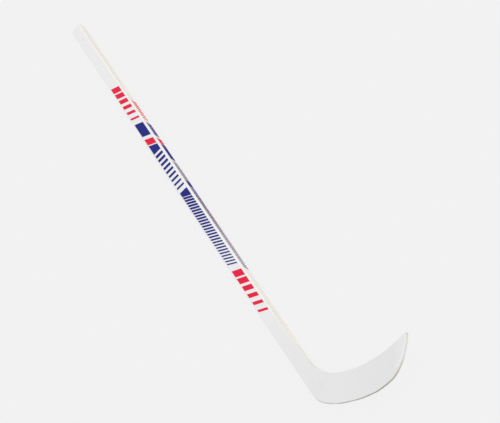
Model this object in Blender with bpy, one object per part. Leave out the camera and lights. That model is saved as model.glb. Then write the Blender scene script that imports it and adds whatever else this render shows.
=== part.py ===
"""Laminated wooden ice-hockey stick, left-handed, built in its real layers.

Metres, +Z up. The origin is the centre of the square-cut butt. +X runs along the
shaft to the heel, +Y points to the toe side, and +Z is the normal of the forehand
face, so the stick lies on its backhand face with the toe curving up.
"""
import math

import bmesh
import bpy
from mathutils import Vector

# Shaft
SHAFT_LENGTH = 1.500          # butt to the corner where the heel-side edge meets the sole line
SHAFT_WIDTH = 0.030
SHAFT_THICKNESS = 0.020
CORNER_RADIUS = 0.003
BUTT_EASE = 0.0005            # sanded off the edges of the square-cut end
DEEPEST_EASE = 0.8            # share of the facing's thickness that the sanding may take

# Layers of the shaft, from each wide face inward
FACING_THICKNESS = 0.0007     # glass cloth in resin, also the blade's skin
PLY_THICKNESS = 0.0022        # birch ply under each facing
GLUE_GAP = 0.0003
FEATHER = 0.00025             # thickness at which a ply is planed away

# Planed taper from shaft thickness to blade thickness
TAPER_REACH = 0.214           # how far above the heel it starts
TAPER_LENGTH = 0.104
ROOT_THICKNESS = 0.0068
TOE_THICKNESS = 0.0052
BLADE_EDGE_RADIUS = 0.0010

# Flared lower shaft and the round inner corner
FLARE = 0.0024
FLARE_LENGTH = 0.053
CORNER_REACH = 0.125          # how far above the heel the inner corner starts
FAN_END = 0.050               # where the inner corner ends, measured along the sole
LIE = math.radians(47.0)      # turn from the shaft's line to the sole's line
HEEL_SHARPNESS = 29.0         # exponent of the heel's blend, larger is sharper

# Blade outline, in distances along the sole line and square to it
BLADE_LENGTH = 0.314
ROCKER_RADIUS = 0.950
ROCKER_CENTRE = 0.127
TOP_RISE = 0.016
TOP_POWER = 1.5
TOE_RADIUS = 0.072
TOE_POWER = 1.9
TOE_DROP = 0.009              # straight stretch from the tip down to the toe's round
TIP_RADIUS = 0.007

# Curve pressed into the blade, opening towards the forehand
CURVE_START = 0.040
CURVE_ANGLE = math.radians(23.0)

# Heel joint: the blade's tongue in the shaft's sawn slot, with a block on each edge
TONGUE_LENGTH = 0.130         # from its end in the slot to the foot of the blocks
BLOCK_REACH = 0.100           # how far above the heel the blocks end
BLOCK_FEATHER = 0.0004
STRIP_JOINTS = (0.025, 0.047)  # glue lines between the blade's core strips

# Number of stations along each stretch
EDGE_STATIONS = 10
TAPER_STATIONS = 16
FAN_STATIONS = 24
SOLE_STATIONS = 18
TOE_STATIONS = 22
TIP_STATIONS = 7
BEND_STATIONS = 24
BEND_STEPS = 48

# Shares at which a rounded edge has its points, from its side up to its face
ROUND_SHARES = (1.0, 0.6, 0.3, 0.1, 0.0)

# Worked out from the sizes above
TAPER_START = SHAFT_LENGTH - TAPER_REACH
TAPER_END = TAPER_START + TAPER_LENGTH
FLARE_END = SHAFT_LENGTH - CORNER_REACH
FLARE_START = FLARE_END - FLARE_LENGTH
BLOCK_END = SHAFT_LENGTH - BLOCK_REACH
TONGUE_START = BLOCK_END - TONGUE_LENGTH
HALF_WIDTH = SHAFT_WIDTH / 2
HALF_THICKNESS = SHAFT_THICKNESS / 2
WIDE_HALF = HALF_WIDTH + FLARE
PLY_TOP = HALF_THICKNESS - FACING_THICKNESS - GLUE_GAP
PLY_BOTTOM = PLY_TOP - PLY_THICKNESS
CORE_TOP = PLY_BOTTOM - GLUE_GAP
SKIN_DEPTH = FACING_THICKNESS + GLUE_GAP
TONGUE_HALF = ROOT_THICKNESS / 2 - SKIN_DEPTH
SLOT_HALF = TONGUE_HALF + GLUE_GAP
FACING_BOTTOM = HALF_THICKNESS - FACING_THICKNESS
END_CUT = min(BUTT_EASE, FACING_THICKNESS * DEEPEST_EASE)

HEEL = Vector((SHAFT_LENGTH, -HALF_WIDTH))
ALONG = Vector((math.cos(LIE), math.sin(LIE)))
UPWARD = Vector((-math.sin(LIE), math.cos(LIE)))
CENTRE_HEIGHT = (SHAFT_LENGTH + FAN_END * math.cos(LIE) - FLARE_END) / math.sin(LIE)
FAN_CENTRE = HEEL + ALONG * FAN_END + UPWARD * CENTRE_HEIGHT
FAN_RADIUS = FAN_CENTRE.y - WIDE_HALF


def clamp(value):
    return min(max(value, 0.0), 1.0)


def ease(value):
    """Cosine step from 0 to 1."""
    return (1 - math.cos(math.pi * clamp(value))) / 2


def linspace(start, end, count):
    return [start + (end - start) * i / (count - 1) for i in range(count)]


def taper(x):
    return ease((x - TAPER_START) / (TAPER_END - TAPER_START))


def taper_place(half):
    """Distance along the shaft at which the taper comes down to a half thickness."""
    root = ROOT_THICKNESS / 2
    share = (HALF_THICKNESS - half) / (HALF_THICKNESS - root)
    return TAPER_START + (TAPER_END - TAPER_START) * math.acos(1 - 2 * share) / math.pi


def half_thickness(x, u=0.0):
    shaft = HALF_THICKNESS + (ROOT_THICKNESS / 2 - HALF_THICKNESS) * taper(x)
    return shaft - (ROOT_THICKNESS - TOE_THICKNESS) / 2 * clamp(u / BLADE_LENGTH)


def butt_cut(x):
    """How much the easing of the square end has taken off the outer faces."""
    return max(END_CUT - x, 0.0)


def edge_radius(x):
    return CORNER_RADIUS + (BLADE_EDGE_RADIUS - CORNER_RADIUS) * taper(x)


def edge_inset(depth, radius):
    """How far a rounded edge has come in at a depth under the wide face."""
    rest = max(radius - depth, 0.0)
    return radius - math.sqrt(radius ** 2 - rest ** 2)


def half_width(x):
    return HALF_WIDTH + FLARE * ease((x - FLARE_START) / (FLARE_END - FLARE_START))


def inner_edge_y(x):
    """Toe-side edge of the shaft, on into the round inner corner."""
    if x <= FLARE_END:
        return half_width(x)
    return FAN_CENTRE.y - math.sqrt(FAN_RADIUS ** 2 - (x - FAN_CENTRE.x) ** 2)


def flat_point(u, v):
    return HEEL + ALONG * u + UPWARD * v


def sole_height(u):
    return (u - ROCKER_CENTRE) ** 2 / (2 * ROCKER_RADIUS)


def top_height(u):
    share = max(u - FAN_END, 0.0) / (BLADE_LENGTH - FAN_END)
    return CENTRE_HEIGHT - FAN_RADIUS + TOP_RISE * share ** TOP_POWER


def heel_point(angle):
    """Outer point on a ray from the inner corner's centre, 0 square to the shaft."""
    lean = LIE - angle
    to_edge = (FAN_CENTRE.y + WIDE_HALF) / math.cos(angle)
    a = math.sin(lean) ** 2 / (2 * ROCKER_RADIUS)
    b = math.cos(lean) - math.sin(lean) * (FAN_END - ROCKER_CENTRE) / ROCKER_RADIUS
    c = sole_height(FAN_END) - CENTRE_HEIGHT
    to_sole = -2 * c / (b + math.sqrt(b * b - 4 * a * c))
    power = HEEL_SHARPNESS
    reach = (to_edge ** -power + to_sole ** -power) ** (-1 / power)
    return FAN_CENTRE + Vector((math.sin(angle), -math.cos(angle))) * reach


def toe_points():
    """Round of the toe, from the sole up to the straight stretch under the tip."""
    start = BLADE_LENGTH - TOE_RADIUS
    slope = (start - ROCKER_CENTRE) / ROCKER_RADIUS
    end_height = top_height(BLADE_LENGTH) - TOE_DROP
    points = []
    for turn in linspace(0.0, math.pi / 2, TOE_STATIONS)[1:]:
        run = TOE_RADIUS * math.sin(turn) ** (2 / TOE_POWER)
        line = sole_height(start) + slope * run
        drop = (end_height - line) * max(math.cos(turn), 0.0) ** (2 / TOE_POWER)
        points.append(flat_point(start + run, end_height - drop))
    return points


def tip_points():
    points = []
    for turn in linspace(math.pi / 2, 0.0, TIP_STATIONS):
        u = BLADE_LENGTH - TIP_RADIUS * (1 - math.sin(turn))
        points.append(flat_point(u, top_height(u) - TIP_RADIUS * (1 - math.cos(turn))))
    return points


def stick_outline(start_x):
    """Flat outline of the lower stick, heel side first, round the toe and back."""
    outer = []
    inner = []
    for x in linspace(TAPER_START, FLARE_END, EDGE_STATIONS):
        outer.append(Vector((x, -half_width(x))))
        inner.append(Vector((x, half_width(x))))
    for angle in linspace(0.0, LIE, FAN_STATIONS)[1:]:
        outer.append(heel_point(angle))
        ray = Vector((math.sin(angle), -math.cos(angle)))
        inner.append(FAN_CENTRE + ray * FAN_RADIUS)
    for u in linspace(FAN_END, BLADE_LENGTH - TOE_RADIUS, SOLE_STATIONS)[1:]:
        outer.append(flat_point(u, sole_height(u)))
    for u in linspace(FAN_END, BLADE_LENGTH - TIP_RADIUS, SOLE_STATIONS)[1:-1]:
        inner.append(flat_point(u, top_height(u)))
    outer = [p for p in outer if p.x > start_x]
    inner = [p for p in inner if p.x > start_x]
    first = [Vector((start_x, -half_width(start_x)))]
    last = [Vector((start_x, inner_edge_y(start_x)))]
    return first + outer + toe_points() + tip_points() + inner[::-1] + last


def inset_outline(points, depth):
    """Bring an outline in as its rounded edge does; the shaft end stays in its plane."""
    result = []
    final = len(points) - 1
    for i, point in enumerate(points):
        before = points[max(i - 1, 0)]
        after = points[min(i + 1, final)]
        direction = (after - before).normalized()
        inward = Vector((-direction.y, direction.x))
        if i in (0, final):
            inward = Vector((0.0, math.copysign(1.0, -point.y)))
        result.append(point + inward * edge_inset(depth, edge_radius(point.x)))
    return result


def bend(flat_x, flat_y, offset):
    """Press the flat blade to its curve; offset is the distance from its middle."""
    place = Vector((flat_x, flat_y)) - HEEL
    u = place.dot(ALONG)
    v = place.dot(UPWARD)
    if u <= CURVE_START:
        return Vector((flat_x, flat_y, offset))
    run = CURVE_START
    rise = 0.0
    step = (u - CURVE_START) / BEND_STEPS
    for i in range(BEND_STEPS):
        angle = curve_angle(CURVE_START + (i + 0.5) * step)
        run += step * math.cos(angle)
        rise += step * math.sin(angle)
    angle = curve_angle(u)
    flat = flat_point(run - offset * math.sin(angle), v)
    return Vector((flat.x, flat.y, rise + offset * math.cos(angle)))


def curve_angle(u):
    """The bend is quick past the heel and dies away towards the toe."""
    share = clamp((u - CURVE_START) / (BLADE_LENGTH - CURVE_START))
    return CURVE_ANGLE * (1 - (1 - share) ** 2)


def make_material(name, hex_colour, roughness):
    material = bpy.data.materials.new(name)
    material.use_nodes = True
    red, green, blue = (int(hex_colour[i:i + 2], 16) / 255 for i in (0, 2, 4))
    linear = [((c + 0.055) / 1.055) ** 2.4 if c > 0.04045 else c / 12.92 for c in (red, green, blue)]
    shader = material.node_tree.nodes["Principled BSDF"]
    shader.inputs["Base Color"].default_value = (*linear, 1.0)
    shader.inputs["Roughness"].default_value = roughness
    shader.inputs["Metallic"].default_value = 0.0
    material.diffuse_color = (*linear, 1.0)
    return material


def add_object(name, mesh_data, material):
    bmesh.ops.recalc_face_normals(mesh_data, faces=mesh_data.faces)
    if mesh_data.calc_volume(signed=True) < 0:
        bmesh.ops.reverse_faces(mesh_data, faces=mesh_data.faces)
    mesh = bpy.data.meshes.new(name)
    mesh_data.to_mesh(mesh)
    mesh_data.free()
    mesh.shade_smooth()
    mesh.set_sharp_from_angle(angle=math.radians(30))
    mesh.materials.append(material)
    part = bpy.data.objects.new(name, mesh)
    bpy.context.scene.collection.objects.link(part)
    return part


def loft(sections):
    """Closed solid through loops of equal length, capped at both ends."""
    bm = bmesh.new()
    loops = [[bm.verts.new(point) for point in section] for section in sections]
    for near, far in zip(loops, loops[1:]):
        for i in range(len(near)):
            j = (i + 1) % len(near)
            bm.faces.new((near[i], near[j], far[j], far[i]))
    bm.faces.new(loops[0][::-1])
    bm.faces.new(loops[-1])
    return bm


def split_at_stations(bm):
    """Cut a blank across where it will taper or bend, keeping both sides."""
    planes = []
    for x in linspace(TAPER_START, TAPER_END, TAPER_STATIONS)[1:]:
        planes.append((Vector((x, 0, 0)), Vector((1, 0, 0))))
    stations = [0.0] + linspace(CURVE_START, BLADE_LENGTH, BEND_STATIONS)[:-1]
    for u in stations:
        planes.append((flat_point(u, 0.0).to_3d(), ALONG.to_3d()))
    for place, normal in planes:
        geometry = bm.verts[:] + bm.edges[:] + bm.faces[:]
        bmesh.ops.bisect_plane(bm, geom=geometry, dist=1e-6, plane_co=place, plane_no=normal)


def along_sole(point):
    return (point.to_2d() - HEEL).dot(ALONG)


def layer_section(x, heights, side=1):
    """Loop across the shaft for a layer with its points at heights from the middle."""
    right = []
    for height in heights:
        depth = half_thickness(x) - butt_cut(x) - abs(height)
        inset = edge_inset(depth, edge_radius(x)) + butt_cut(x)
        right.append(Vector((x, HALF_WIDTH - inset, side * height)))
    return right + [Vector((x, -p.y, p.z)) for p in right[::-1]]


def make_facing(name, side, material):
    """Thin glass facing on one wide face of the shaft, its edges rounded over."""
    sections = []
    for x in (0.0, END_CUT, TAPER_START - GLUE_GAP):
        top = HALF_THICKNESS - butt_cut(x)
        heights = [top - (top - FACING_BOTTOM) * share for share in ROUND_SHARES]
        sections.append(layer_section(x, heights, side))
    return add_object(name, loft(sections), material)


def make_ply(name, side, material):
    """Birch ply under a facing, planed away to a feather edge by the taper."""
    end = taper_place(PLY_BOTTOM + FEATHER + SKIN_DEPTH)
    sections = []
    for x in [0.0, END_CUT] + linspace(TAPER_START, end, TAPER_STATIONS):
        top = half_thickness(x) - SKIN_DEPTH
        heights = [top - (top - PLY_BOTTOM) * share for share in ROUND_SHARES]
        sections.append(layer_section(x, heights, side))
    return add_object(name, loft(sections), material)


def make_core(name, material):
    """Middle of the shaft; its lower end is sawn into a fork for the blade's tongue."""
    end = taper_place(SLOT_HALF + FEATHER + SKIN_DEPTH)
    sections = []
    for x in [0.0, END_CUT] + linspace(TAPER_START, end, TAPER_STATIONS):
        top = min(CORE_TOP, half_thickness(x) - SKIN_DEPTH)
        upper = [top - edge_radius(x) * share for share in ROUND_SHARES]
        sections.append(layer_section(x, [-z for z in upper[::-1]] + upper))
    core = add_object(name, loft(sections), material)
    cut_slot(core, end)
    return core


def cut_slot(core, end):
    """Saw the slot through both narrow sides and out of the lower end."""
    length = end - TONGUE_START + SHAFT_WIDTH
    bpy.ops.mesh.primitive_cube_add(size=1.0)
    saw = bpy.context.object
    saw.name = "slot_saw"
    saw.scale = (length, SHAFT_WIDTH * 2, SLOT_HALF * 2)
    saw.location = (TONGUE_START - GLUE_GAP + length / 2, 0.0, 0.0)
    saw.hide_render = True
    saw.display_type = "WIRE"
    bpy.ops.object.transform_apply(location=False, rotation=False, scale=True)
    slot = core.modifiers.new("slot", "BOOLEAN")
    slot.operation = "DIFFERENCE"
    slot.solver = "EXACT"
    slot.object = saw


def make_block(name, side, material):
    """Wedge glued on the shaft's edge to widen the heel; side +1 is the toe side."""
    inner = HALF_WIDTH + GLUE_GAP
    share = (GLUE_GAP + BLOCK_FEATHER) / FLARE
    start = FLARE_START + FLARE_LENGTH * math.acos(1 - 2 * share) / math.pi
    sections = []
    for x in linspace(start, BLOCK_END, TAPER_STATIONS):
        edge = inner_edge_y(x) if side > 0 else half_width(x)
        top = half_thickness(x) - SKIN_DEPTH
        upper = []
        for z in (top - edge_radius(x) * share for share in ROUND_SHARES):
            inset = edge_inset(half_thickness(x) - z, edge_radius(x))
            upper.append(Vector((x, side * max(edge - inset, inner + BLOCK_FEATHER / 2), z)))
        outer = [Vector((x, p.y, -p.z)) for p in upper[::-1]] + upper
        back = [Vector((x, side * inner, top)), Vector((x, side * inner, -top))]
        sections.append(outer + back)
    return add_object(name, loft(sections), material)


def make_strip(name, low, high, material):
    """One strip of the blade's core between two glue lines, with its share of the tongue."""
    blade = stick_outline(BLOCK_END + GLUE_GAP)
    blade = inset_outline(blade, FACING_THICKNESS)
    step_out = Vector((BLOCK_END + GLUE_GAP, -HALF_WIDTH))
    tongue = [Vector((BLOCK_END + GLUE_GAP, HALF_WIDTH)), Vector((TONGUE_START, HALF_WIDTH))]
    outline = blade + tongue + [Vector((TONGUE_START, -HALF_WIDTH)), step_out]
    bm = bmesh.new()
    bm.faces.new([bm.verts.new(point.to_3d()) for point in outline])
    for height, keep_above in ((low, True), (high, False)):
        if height is None:
            continue
        shift = GLUE_GAP / 2 if keep_above else -GLUE_GAP / 2
        geometry = bm.verts[:] + bm.edges[:] + bm.faces[:]
        bmesh.ops.bisect_plane(bm, geom=geometry, dist=1e-6,
                               plane_co=flat_point(0.0, height + shift).to_3d(),
                               plane_no=UPWARD.to_3d(),
                               clear_inner=keep_above, clear_outer=not keep_above)
    split_at_stations(bm)
    raised = bmesh.ops.extrude_face_region(bm, geom=bm.faces[:])["geom"]
    upper = {element for element in raised if isinstance(element, bmesh.types.BMVert)}
    for vertex in bm.verts:
        u = along_sole(vertex.co)
        half = half_thickness(TAPER_END, u) - SKIN_DEPTH
        offset = half if vertex in upper else -half
        vertex.co = bend(vertex.co.x, vertex.co.y, offset)
    return add_object(name, bm, material)


def make_skin(name, side, material):
    """Glass-cloth skin over the taper, the heel joint and one face of the blade."""
    outline = stick_outline(TAPER_START)
    loops = []
    for depth in (FACING_THICKNESS * share for share in ROUND_SHARES):
        loops.append([Vector((p.x, p.y, -depth)) for p in inset_outline(outline, depth)])
    bm = loft(loops)
    split_at_stations(bm)
    for vertex in bm.verts:
        depth = -vertex.co.z
        half = half_thickness(vertex.co.x, along_sole(vertex.co))
        vertex.co = bend(vertex.co.x, vertex.co.y, side * (half - depth))
    return add_object(name, bm, material)


def build_stick():
    facing = make_material("white painted glass facing", "EDECEF", 0.40)
    ply = make_material("birch ply", "E6D9BC", 0.50)
    aspen = make_material("aspen core", "EAE6D8", 0.50)
    ash = make_material("edge-glued blade core", "D9CCB0", 0.55)
    make_facing("shaft_facing_forehand", 1, facing)
    make_facing("shaft_facing_backhand", -1, facing)
    make_ply("shaft_ply_forehand", 1, ply)
    make_ply("shaft_ply_backhand", -1, ply)
    make_core("shaft_core", aspen)
    make_block("heel_block_toe_side", 1, ply)
    make_block("heel_block_heel_side", -1, ply)
    lower, upper = STRIP_JOINTS
    make_strip("blade_strip_sole", None, lower, ash)
    make_strip("blade_strip_middle", lower, upper, ash)
    make_strip("blade_strip_top", upper, None, ash)
    make_skin("blade_skin_forehand", 1, facing)
    make_skin("blade_skin_backhand", -1, facing)


for old in list(bpy.data.objects):
    bpy.data.objects.remove(old, do_unlink=True)
build_stick()
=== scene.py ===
"""Looks of a laminated wooden ice-hockey stick, left-handed, lying on its backhand face.

Metres, in the CAD frame: the origin is the centre of the butt, +X runs along the shaft to
the heel, +Y points to the toe side and +Z is the normal of the forehand face. The sections
follow the stick as it is made: shaft core, plies, heel blocks, blade core, glass facings,
blade skins, printed stripes. The floor, the light and the camera come last.
"""

import math

import bmesh
import bpy
import numpy as np
from mathutils import Matrix, Vector


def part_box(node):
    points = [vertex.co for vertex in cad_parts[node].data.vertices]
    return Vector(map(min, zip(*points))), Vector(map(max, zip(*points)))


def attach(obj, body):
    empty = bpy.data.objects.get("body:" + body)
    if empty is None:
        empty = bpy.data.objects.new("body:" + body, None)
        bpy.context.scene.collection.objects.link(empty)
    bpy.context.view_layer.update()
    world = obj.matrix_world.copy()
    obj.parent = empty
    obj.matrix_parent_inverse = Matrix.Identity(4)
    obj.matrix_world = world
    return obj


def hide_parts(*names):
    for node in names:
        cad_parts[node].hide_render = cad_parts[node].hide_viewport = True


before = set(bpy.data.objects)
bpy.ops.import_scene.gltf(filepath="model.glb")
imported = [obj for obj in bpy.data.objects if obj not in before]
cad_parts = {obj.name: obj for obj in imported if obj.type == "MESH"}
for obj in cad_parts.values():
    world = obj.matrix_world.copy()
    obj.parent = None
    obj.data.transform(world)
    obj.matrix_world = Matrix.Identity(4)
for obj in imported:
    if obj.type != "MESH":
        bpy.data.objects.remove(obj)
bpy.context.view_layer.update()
scene = bpy.context.scene

# Shaft core
# A straight bar of pale aspen, glued up square and sawn into a fork at its lower end for
# the blade's tongue. Its two long edges show between the plies under a clear satin coat,
# and the white paint of the wide faces laps over the rounded corners towards them.
facing_low, facing_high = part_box("shaft_facing_forehand")
SHAFT_LENGTH = 1.500           # from the butt to the heel's corner
HALF_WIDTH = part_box("shaft_ply_forehand")[1].y      # the facings are narrower
HALF_THICKNESS = facing_high.z
FACING_THICKNESS = facing_high.z - facing_low.z
CORNER_RADIUS = 0.003
BUTT_EASE = 0.0005             # sanded off the edges of the square end
PLY_THICKNESS = 0.0022
GLUE_LINE = 0.00004
FEATHER = 0.00025              # a layer is planed away where it gets this thin
PLY_TOP = HALF_THICKNESS - FACING_THICKNESS - GLUE_LINE
PLY_BOTTOM = PLY_TOP - PLY_THICKNESS
CORE_TOP = PLY_BOTTOM - GLUE_LINE
SKIN_DEPTH = FACING_THICKNESS + GLUE_LINE

TAPER_REACH = 0.214            # how far above the heel the shaft starts to thin
TAPER_LENGTH = 0.104
TAPER_START = SHAFT_LENGTH - TAPER_REACH
TAPER_END = TAPER_START + TAPER_LENGTH
ROOT_THICKNESS = 0.0068
TOE_THICKNESS = 0.0052
BLADE_EDGE_RADIUS = 0.0010

BLADE_LENGTH = 0.314
LIE = math.radians(47.0)       # turn from the shaft's line to the sole's line
HEEL = np.array((SHAFT_LENGTH, -HALF_WIDTH))
ALONG = np.array((math.cos(LIE), math.sin(LIE)))
UPWARD = np.array((-math.sin(LIE), math.cos(LIE)))
CURVE_START = 0.040
CURVE_ANGLE = math.radians(23.0)
BEND_SAMPLES = 2000

BLOCK_REACH = 0.100            # how far above the heel the blocks end
TONGUE_LENGTH = 0.130
BLOCK_END = SHAFT_LENGTH - BLOCK_REACH
TONGUE_START = BLOCK_END - TONGUE_LENGTH
SLOT_HALF = ROOT_THICKNESS / 2 - SKIN_DEPTH + GLUE_LINE

# Shares of a layer's height and of its width at which its points lie, closer at its edges
LEVELS = (1 - np.cos(np.linspace(0, np.pi, 11))) / 2
ACROSS = np.array((0, 0.012, 0.05, 0.12, 0.25, 0.5, 0.75, 0.88, 0.95, 0.988, 1))
STATION_GAP = 0.001            # from the plain shaft's last station to the taper's first
MERGE_DISTANCE = 1e-7
SHARP_ANGLE = math.radians(35)

# How far the white paint laps down an edge from the wide face
BUTT_LAP = 0.0034
SHAFT_LAP = 0.0048             # at the taper
BACKHAND_LAP = 0.35            # share of it that the paint laps down from the backhand face
CORNER_LAP = 0.0               # in the round inner corner
TOP_LAP = 0.0014
SOLE_LAP = 0.0009
TOE_LAP = 0.0021               # at the tip
HEEL_LAP = 0.0044              # more than half the rim, so the heel's round is painted all over
LAP_CHANGE = (1.305, 1.355)    # along the shaft, from its own lap to the lower ones
TOP_LAP_CHANGE = (1.415, 1.440)
HEEL_LAP_CHANGE = (0.0360, 0.0385)     # along the sole
TOE_LAP_CHANGE = (0.235, 0.275)
TOE_LAP_RISE = (0.0, 0.045)            # over the sole
LAP_SOFTNESS = 0.0005
LAP_WANDER = 0.0003
LAP_WAVE = 0.050
SANDED = 0.003                 # the butt is sanded after painting, so it is bare

GRAIN_LENGTH = 0.160           # a streak of aspen's grain
GRAIN_WIDTH = 0.0024           # drawn about twice as coarse as it is, so that it shows
CROSS_CUT = (1.380, 1.402)     # from here on the inner corner is sawn across the grain


def blend(first, second, share):
    return first + (second - first) * share


def ease(value, start, end):
    """Cosine step from 0 where a value is at the start to 1 at the end."""
    share = np.clip((value - start) / (end - start), 0, 1)
    return (1 - np.cos(np.pi * share)) / 2


def ease_place(share, start, end):
    """Place between a start and an end where the cosine step reaches a share."""
    return blend(start, end, math.acos(1 - 2 * share) / math.pi)


def taper(x):
    return ease(x, TAPER_START, TAPER_END)


def taper_place(half):
    """Distance along the shaft at which the taper comes down to a half thickness."""
    share = (HALF_THICKNESS - half) / (HALF_THICKNESS - ROOT_THICKNESS / 2)
    return ease_place(share, TAPER_START, TAPER_END)


def along_sole(flat):
    return (flat - HEEL) @ ALONG


def over_sole(flat):
    return (flat - HEEL) @ UPWARD


def on_sole(u, v):
    """Flat point at a distance along the sole's line and over it."""
    return HEEL + np.multiply.outer(u, ALONG) + np.multiply.outer(v, UPWARD)


def half_thickness(flat):
    shaft = blend(HALF_THICKNESS, ROOT_THICKNESS / 2, taper(flat[..., 0]))
    thinning = np.clip(along_sole(flat) / BLADE_LENGTH, 0, 1)
    return shaft - (ROOT_THICKNESS - TOE_THICKNESS) / 2 * thinning


def edge_inset(depth, x):
    """How far the rounded edge has come in at a depth under the wide face."""
    radius = blend(CORNER_RADIUS, BLADE_EDGE_RADIUS, taper(x))
    rest = np.maximum(radius - depth, 0)
    return radius - np.sqrt(radius ** 2 - rest ** 2)


def butt_cut(flat):
    """How much the sanding of the square end has taken off the outer faces."""
    return np.maximum(BUTT_EASE - flat[..., 0], 0)


def paint_lap(flat, share, height):
    """How far the paint laps down; share is 0 on the heel side and sole, 1 on the other edge."""
    x, along = flat[..., 0], along_sole(flat)
    up_toe = ease(along, *TOE_LAP_CHANGE) * ease(over_sole(flat), *TOE_LAP_RISE)
    sole_lap = blend(HEEL_LAP, blend(SOLE_LAP, TOE_LAP, up_toe), ease(along, *HEEL_LAP_CHANGE))
    top_lap = blend(CORNER_LAP, TOP_LAP, ease(x, *TOP_LAP_CHANGE))
    upper_lap = blend(BUTT_LAP, SHAFT_LAP, np.clip(x / TAPER_START, 0, 1))
    upper_lap = upper_lap * np.where(height < 0, BACKHAND_LAP, 1)
    return blend(upper_lap, blend(sole_lap, top_lap, share), ease(x, *LAP_CHANGE))


def bend(flat, offset):
    """Press flat points of the blade to its curve; offset is the distance from its middle."""
    reach = np.linspace(CURVE_START, BLADE_LENGTH, BEND_SAMPLES)
    share = (reach - CURVE_START) / (BLADE_LENGTH - CURVE_START)
    angle = CURVE_ANGLE * (1 - (1 - share) ** 2)
    step = reach[1] - reach[0]
    run = CURVE_START + np.concatenate(((0,), np.cumsum(np.cos(angle[1:]) * step)))
    rise = np.concatenate(((0,), np.cumsum(np.sin(angle[1:]) * step)))
    u = along_sole(flat)
    turn = np.interp(u, reach, angle)
    new_u = np.where(u > CURVE_START, np.interp(u, reach, run), u)
    height = np.interp(u, reach, rise) + offset * np.cos(turn)
    plan = flat + np.multiply.outer(new_u - offset * np.sin(turn) - u, ALONG)
    return np.concatenate((plan, height[..., None]), axis=-1)


def inward(edge, side):
    """Normals of an edge that point into the stick; side is +1 on the heel side."""
    run = np.gradient(edge, axis=0)
    run /= np.linalg.norm(run, axis=1)[:, None]
    return side * np.stack((-run[:, 1], run[:, 0]), -1)


def layer(name, edges, top, bottom=None, side=1, rounded=(1, 1)):
    """Closed solid between two edges and two heights, its outer edges rounded over.

    top and bottom give heights from the middle for a half thickness, and a layer without a
    bottom goes as far below the middle as above it. side is -1 on the backhand. rounded
    says which of the heel-side and toe-side edges is an outer one.
    """
    def height_at(flat, level):
        half = half_thickness(flat)
        surface = half - butt_cut(flat)
        high = np.minimum(top(half), surface)
        low = np.maximum(bottom(half), -surface) if bottom else -high
        return blend(low, high, level)

    rows = []
    for level in LEVELS:
        row = []
        for edge, turn, outer in zip(edges, (1, -1), rounded):
            cut = butt_cut(edge)
            depth = half_thickness(edge) - cut - np.abs(height_at(edge, level))
            inset = (edge_inset(depth, edge[:, 0]) + cut) * outer
            row.append(edge + inward(edge, turn) * inset[:, None])
        rows.append(row)
    floor_row, roof_row = [blend(*row, ACROSS[:, None, None]) for row in (rows[0], rows[-1])]
    ring = np.concatenate((floor_row, np.stack([row[1] for row in rows[1:-1]]), roof_row[::-1],
                           np.stack([row[0] for row in rows[1:-1]])[::-1]))
    count, between = len(ACROSS), len(LEVELS) - 2
    level = np.concatenate((np.zeros(count), LEVELS[1:-1], np.ones(count), LEVELS[-2:0:-1]))
    share = np.concatenate((ACROSS, np.ones(between), ACROSS[::-1], np.zeros(between)))[:, None]
    height = side * height_at(ring, level[:, None])

    span = np.linalg.norm(edges[1] - edges[0], axis=1)
    depth = half_thickness(ring) - butt_cut(ring) - np.abs(height)
    bare = depth - paint_lap(ring, share, height) - span * np.minimum(share, 1 - share)
    bare = np.where(ring[..., 0] > 0, bare, SANDED)
    plan = np.concatenate((ring, height[..., None]), axis=-1)
    mesh = loft(name, bend(ring, height).transpose(1, 0, 2))
    for word, kind, field, values in (("bare_depth", "FLOAT", "value", bare.T),
                                      ("plan", "FLOAT_VECTOR", "vector", plan.transpose(1, 0, 2))):
        mesh.attributes.new(word, kind, "POINT").data.foreach_set(field, values.ravel())
    return piece(name, mesh)


def loft(name, rings):
    """Mesh through rings of points, closed at both ends with rows of four-sided faces."""
    stations, size = rings.shape[:2]
    count, levels = len(ACROSS), len(LEVELS)
    faces = []
    for i in range(stations - 1):
        for j in range(size):
            k = (j + 1) % size
            faces.append((i * size + j, i * size + k, (i + 1) * size + k, (i + 1) * size + j))
    toe_column = [count - 1 + j for j in range(levels)]
    heel_column = [0] + [size - j for j in range(1, levels - 1)] + [2 * count + levels - 3]
    for end in (0, (stations - 1) * size):
        for low in range(levels - 1):
            face = [heel_column[low], toe_column[low], toe_column[low + 1], heel_column[low + 1]]
            if low == 0:
                face = list(range(count)) + face[2:]
            if low == levels - 2:
                face = face[:2] + list(range(toe_column[-1], toe_column[-1] + count))
            faces.append([end + index for index in face])
    mesh = bpy.data.meshes.new(name)
    mesh.from_pydata(rings.reshape(-1, 3), [], faces)
    return mesh


def placed(name, data):
    """Object of a mesh, a lamp or a camera, put in the scene."""
    made = bpy.data.objects.new(name, data)
    scene.collection.objects.link(made)
    return made


def piece(name, mesh):
    """Object of a mesh whose faces point outwards, shaded smooth over its rounds."""
    shape = bmesh.new()
    shape.from_mesh(mesh)
    bmesh.ops.remove_doubles(shape, verts=shape.verts, dist=MERGE_DISTANCE)
    bmesh.ops.recalc_face_normals(shape, faces=shape.faces)
    if shape.calc_volume(signed=True) < 0:
        bmesh.ops.reverse_faces(shape, faces=shape.faces)
    shape.to_mesh(mesh)
    shape.free()
    mesh.shade_smooth()
    mesh.set_sharp_from_angle(angle=SHARP_ANGLE)
    return placed(name, mesh)


def fit(made, material, slot, *nodes):
    """Give a piece its material, hang it on the root body and hide the CAD nodes that it stands for; slot
    is not used.
    """
    made.data.materials.clear()
    made.data.materials.append(material)
    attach(made, "root")
    if nodes:
        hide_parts(*nodes)


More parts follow.
